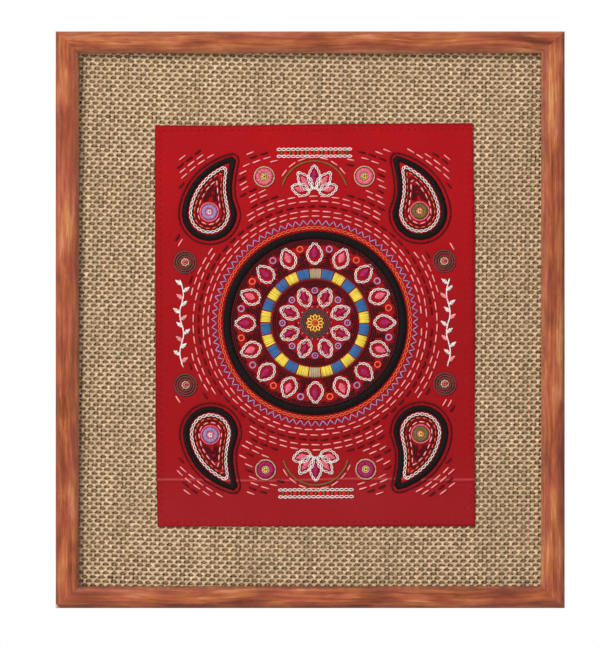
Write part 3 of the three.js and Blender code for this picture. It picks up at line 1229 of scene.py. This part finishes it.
# The lotus wheel in the middle, worked outwards. Radii and sizes are in millimetres. Close rows of stem
# stitch fill what its two rounds of petals leave free.
eye_petal = (2.3, 6.6)
eye_rings = (8.4, 9.9, 11.4)
eye_knots_radius = 13.0
row_gap = 1.5
inner_petal_count = 8
inner_petal_root = 14.2
inner_petal_size = (16.6, 5.4)
inner_ring_radius = 26.0
inner_rows = np.arange(15.6, 31.6, row_gap)
inner_rims = (32.4, 34.0)
band_blocks = 26
band_radii = (35.4, 43.6)
band_block_sweep = 12.6
band_rim = 45.0
outer_petal_count = 16
outer_petal_root = 47.0
outer_petal_size = (17.6, 6.2)
outer_ring_radius = 60.0
outer_rows = np.arange(46.9, 66.4, row_gap)
black_band_radii = (67.0, 73.6)
chain_radius = 76.2
zigzag_radius = 80.4

for way in range(0, 360, 30):
    ray = spoke(middle, 1, way) - middle
    loop("yellow", middle + ray * eye_petal[0], middle + ray * eye_petal[1], 1.2, 0.9)
for knot_place in [middle, *circle(middle, 1.5)[::15]]:
    knot("orange", knot_place)
for radius in eye_rings:
    stem("umber", circle(middle, radius), step=2.4)
for knot_place in circle(middle, eye_knots_radius)[::5]:
    knot("pink", knot_place)
inner_outlines = []
half_turn_between = 180.0 / inner_petal_count
for index in range(inner_petal_count):
    way = (2 * index + 1) * half_turn_between
    base = spoke(middle, inner_petal_root, way)
    inner_outlines.append(filled_petal(("white", "pale_pink", "magenta"), base, way, *inner_petal_size))
    between = spoke(middle, inner_ring_radius, way + half_turn_between)
    ring("lavender", between, 2.2, 1.3)
    knot("pink", between)
    inner_outlines.append(circle(between, 2.9))
for radius in inner_rims:
    stem("maroon", circle(middle, radius))
off_inner_petals = clear_of([resized(outline, 1.14) for outline in inner_outlines])
for radius in inner_rows:
    stem("maroon", circle(middle, radius), allowed=off_inner_petals, wide=1.2)
for index in range(band_blocks):
    start = index * 360 / band_blocks
    thread = "beige" if index % 13 == 6 else ("yellow", "blue")[index % 2]
    near, far = (circle(middle, radius, start, band_block_sweep) for radius in band_radii)
    satin(thread, near, far, spacing=0.95)
stem("maroon", circle(middle, band_rim))
outer_outlines = []
half_turn_between = 180.0 / outer_petal_count
for index in range(outer_petal_count):
    way = 2 * index * half_turn_between
    base = spoke(middle, outer_petal_root, way)
    threads = ("white", "pale_pink", "pink" if index % 2 else "magenta")
    outer_outlines.append(filled_petal(threads, base, way, *outer_petal_size, echo=False))
    between = spoke(middle, outer_ring_radius, way + half_turn_between)
    ring("lavender" if index % 2 else "orange", between, 2.3, 1.4)
    outer_outlines.append(circle(between, 3.4))
off_outer_petals = clear_of([resized(outline, 1.12) for outline in outer_outlines])
for radius in outer_rows:
    stem("maroon", circle(middle, radius), allowed=off_outer_petals, step=3.0, long=4.4, wide=1.3)
near, far = (circle(middle, radius) for radius in black_band_radii)
satin("black", near, far, spacing=0.88, wide=1.15)
chain("orange", circle(middle, chain_radius), link=4.2, half_wide=1.0, wide=0.9)
zigzag("lavender", circle(middle, zigzag_radius), 2.1, 3.0)

# The corner motifs: a seed shape with a curling tip, worked alike in each quarter. Its rows lie so many
# millimetres inside its outline, or outside it where the number is negative.
spine_share = np.linspace(0, 1, 24)
spine_long = 46.0
spine_curl = 22.0
bulb_place = (84.0, middle[1] + 88.0)
bulb_radius = 22.0
seed_border = (0, 4.8)
seed_rim = -2.6
seed_chain = 6.9
seed_runs = (("orange", 9.9, 3.6, 1.8), ("pale_pink", 12.9, 4.2, 2.0))
seed_stem_rows = (8.6, 11.4, 14.4, 15.9, 17.4)
seed_space = -5.0
seed_flower_radius = 7.4
seed_flower_space = 8.8
spine_x = bulb_place[0] - spine_curl * spine_share**2.2
spine = np.stack([spine_x, bulb_place[1] + spine_long * spine_share], -1)
girth = bulb_radius * (1 - spine_share**1.5) ** 0.85


def seed_outline(inset, corner):
    """The seed shape's outline in a corner, drawn in or out by so many millimetres."""
    reach = girth - inset
    kept = reach > 0.4
    sides = across(spine, spine_share) * reach[:, None]
    left = (spine + sides)[kept]
    right = (spine - sides)[kept]
    bulb = circle(spine[0], reach[0], 180, 180)
    return mirrored(np.concatenate([bulb, right[1:], left[::-1]]), *corner)


def off_bulb_flower(place):
    return np.linalg.norm(place - bulb_middle) > seed_flower_space


for corner in ((0, 0), (0, 1), (1, 0), (1, 1)):
    outer, inner = (seed_outline(inset, corner) for inset in seed_border)
    satin("black", outer, inner, spacing=0.85, wide=1.1)
    stem("maroon", seed_outline(seed_rim, corner))
    chain("white", seed_outline(seed_chain, corner), link=3.8)
    for thread, inset, long, gap in seed_runs:
        run(thread, seed_outline(inset, corner), long=long, gap=gap)
    bulb_middle = mirrored(spine[0] + (0, 1.0), *corner)
    for inset in seed_stem_rows:
        stem("maroon", seed_outline(inset, corner), allowed=off_bulb_flower)
    spokes, heart = ("lavender", "white") if corner[0] else ("olive", "yellow")
    wheel_flower(bulb_middle, seed_flower_radius, "pink", spokes, heart)
    taken.append(seed_outline(seed_space, corner))

# Round medallions and wheel flowers in the field, and leafy stems at the sides
medallion_place = (103.5, middle[1] + 49.0)
medallion_radius = 8.8
field_flower_place = (40.0, middle[1] + 117.0)
field_flower_radius = 8.0
stem_x = 106.5
stem_half_long = 35
stem_bends = 7
stem_bend = 1.6
leaf_spread = 52
leaf_size = (6.4, 1.6)
stem_space = (8.5, 40.0)
for across_x in (0, 1):
    for across_z in (0, 1):
        medallion(mirrored(medallion_place, across_x, across_z), medallion_radius)
        place = mirrored(field_flower_place, across_x, across_z)
        wheel_flower(place, field_flower_radius, "beige", "magenta" if across_z else "pink", "yellow")
    swing = stem_bend * np.sin(np.linspace(-stem_bends, stem_bends, 30))
    climb = np.linspace(-stem_half_long, stem_half_long, 30)
    side_stem = mirrored(np.stack([stem_x + swing, middle[1] + climb], -1), across_x, 0)
    stem("white", side_stem, step=2.6)
    for index, share in enumerate(np.linspace(0.06, 0.94, 12)):
        way = 90 + (leaf_spread if index % 2 else -leaf_spread)
        leaf("white" if index % 3 else "pale_pink", at(side_stem, [share])[0], way, *leaf_size)
    taken.append(mirrored((stem_x, middle[1]), across_x, 0) + circle((0, 0), 1) * stem_space)

# A lotus with a ladder band over it, at the top and at the foot
lotus_root = 103.0
lotus_spreads = (-72, 72, -37, 37, 0)
olive_arch = (26.5, 76)
pink_arch = (29.5, 70)
lotus_space = (37.0, 82)
lotus_space_drop = 5.5
ladder_half = 30.0
ladder_levels = (133.2, 138.8)
rung_levels = (134.2, 137.8)
rungs = np.arange(-26.0, 27.0, 6.5)
block_sides = (1.6, 4.9)


def arch(root, up, radius, half_sweep):
    """Part of a circle over a root, or under it where up is -1."""
    return circle(root, radius, 90 * up - half_sweep, 2 * half_sweep)


for across_z in (0, 1):
    up = 1 - 2 * across_z
    root = mirrored((0.0, middle[1] + lotus_root), 0, across_z)
    for spread in lotus_spreads:
        way = 90 * up + spread
        long = 20.0 - abs(spread) / 18
        threads = ("white", "pale_pink", "pink" if spread else "magenta")
        filled_petal(threads, spoke(root, 4.0, way), way, long, 5.0, echo=False)
    stem("olive", arch(root, up, *olive_arch), step=2.8)
    run("pale_pink", arch(root, up, *pink_arch))
    for level in ladder_levels:
        ladder_side = [(-ladder_half, middle[1] + level), (ladder_half, middle[1] + level)]
        chain("white", mirrored(ladder_side, 0, across_z), link=3.8)
    for x in rungs:
        low, high = mirrored([(x, middle[1] + level) for level in rung_levels], 0, across_z)
        sew("olive", low, high, 1.3)
        if x < rungs[-1]:
            block_left, block_right = (np.array([low + (off, 0), high + (off, 0)]) for off in block_sides)
            satin("scarlet", block_left, block_right, spacing=0.95)
    ladder_space = [(-33, middle[1] + 131), (33, middle[1] + 131), (33, 160), (-33, 160)]
    taken.append(mirrored(ladder_space, 0, across_z))
    taken.append(arch(root - (0, lotus_space_drop * up), up, *lotus_space))

# The ground between them: rows of running stitch that echo the wheel, every third row in maroon
field_half = (112.0, 139.0)
ground_rows = np.arange(85.4, 172.0, 4.0)
off_motifs = clear_of(taken)


def in_field(place):
    """Clear of the motifs, within the worked part of the cloth."""
    reach = abs(place - middle)
    return reach[0] <= field_half[0] and reach[1] <= field_half[1] and off_motifs(place)


for row, radius in enumerate(ground_rows):
    thread, wide = ("maroon", 1.25) if row % 3 == 2 else ("pale_pink", 1.12)
    run(thread, circle(middle, radius), allowed=in_field, wide=wide)

# The hem stitches, in red thread
hem_inset = 4.1
thread_colours["red"] = ((0.43, 0.0085, 0.013), 0.3)
sewn["red"] = []
hem_half = (cloth_width / 2 / mm - hem_inset, cloth_length / 2 / mm - hem_inset)
hem_line = np.array([(-1, 1), (1, 1), (1, -1), (-1, -1), (-1, 1)]) * hem_half
run("red", hem_line, long=1.2, gap=4.2, wide=0.8)


def thread_material(name, colour):
    """Stranded cotton: twisted, with a low sheen. A pale thread shows less of its fibres."""
    made, tree, shader = new_material("thread_" + name, 0.6)
    between_fibres = 0.62 + 0.26 * max(colour)
    dark = [part * between_fibres for part in colour]
    twist = {"Round": 6.0, "Along": 400.0, "Twist": 330.0, "Tone": 0.06, "Plies": 3.0, "Ridges": 900.0}
    fibre_values = {"Color": (*colour, 1), "Dark": (*dark, 1), **twist}
    wound = node(tree, "ShaderNodeGroup", fibre_values, node_tree=fibre).outputs
    finish_surface(tree, shader, wound["Color"], wound["Height"], 0.5, 0.1 * mm, specular=0.13)
    return made


section_turns = [math.radians(turn) for turn in (0, 55, 125, 180, 270)]
thread_section = [(math.cos(turn), math.sin(turn)) for turn in section_turns]
stitching = []
for thread, strands in sewn.items():
    cotton = thread_material(thread, thread_colours[thread][0])
    stitching.append(strand_piece("stitches_" + thread, strands, thread_section, cotton))

# Each stitch draws the cloth down where it goes in.
pull_depth = 0.3 * mm
pull_reach = 1.5 * mm
cloth_points = kdtree.KDTree(len(cloth_mesh.vertices))
for vert in cloth_mesh.vertices:
    cloth_points.insert(vert.co, vert.index)
cloth_points.balance()
pulls = np.zeros(len(cloth_mesh.vertices))
for hole in np.array(needle_holes) * mm:
    x, z = on_picture(*hole)
    for _, index, distance in cloth_points.find_range((x, -cloth_face, z), pull_reach):
        pulls[index] += pull_depth * (1 - distance / pull_reach)
pulled = np.empty(3 * len(cloth_mesh.vertices))
cloth_mesh.vertices.foreach_get("co", pulled)
pulled[1::3] += np.minimum(pulls, pull_depth)
cloth_mesh.vertices.foreach_set("co", pulled)

for piece in (red_cloth, *stitching):
    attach(piece, "root")
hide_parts("embroidered_cloth")
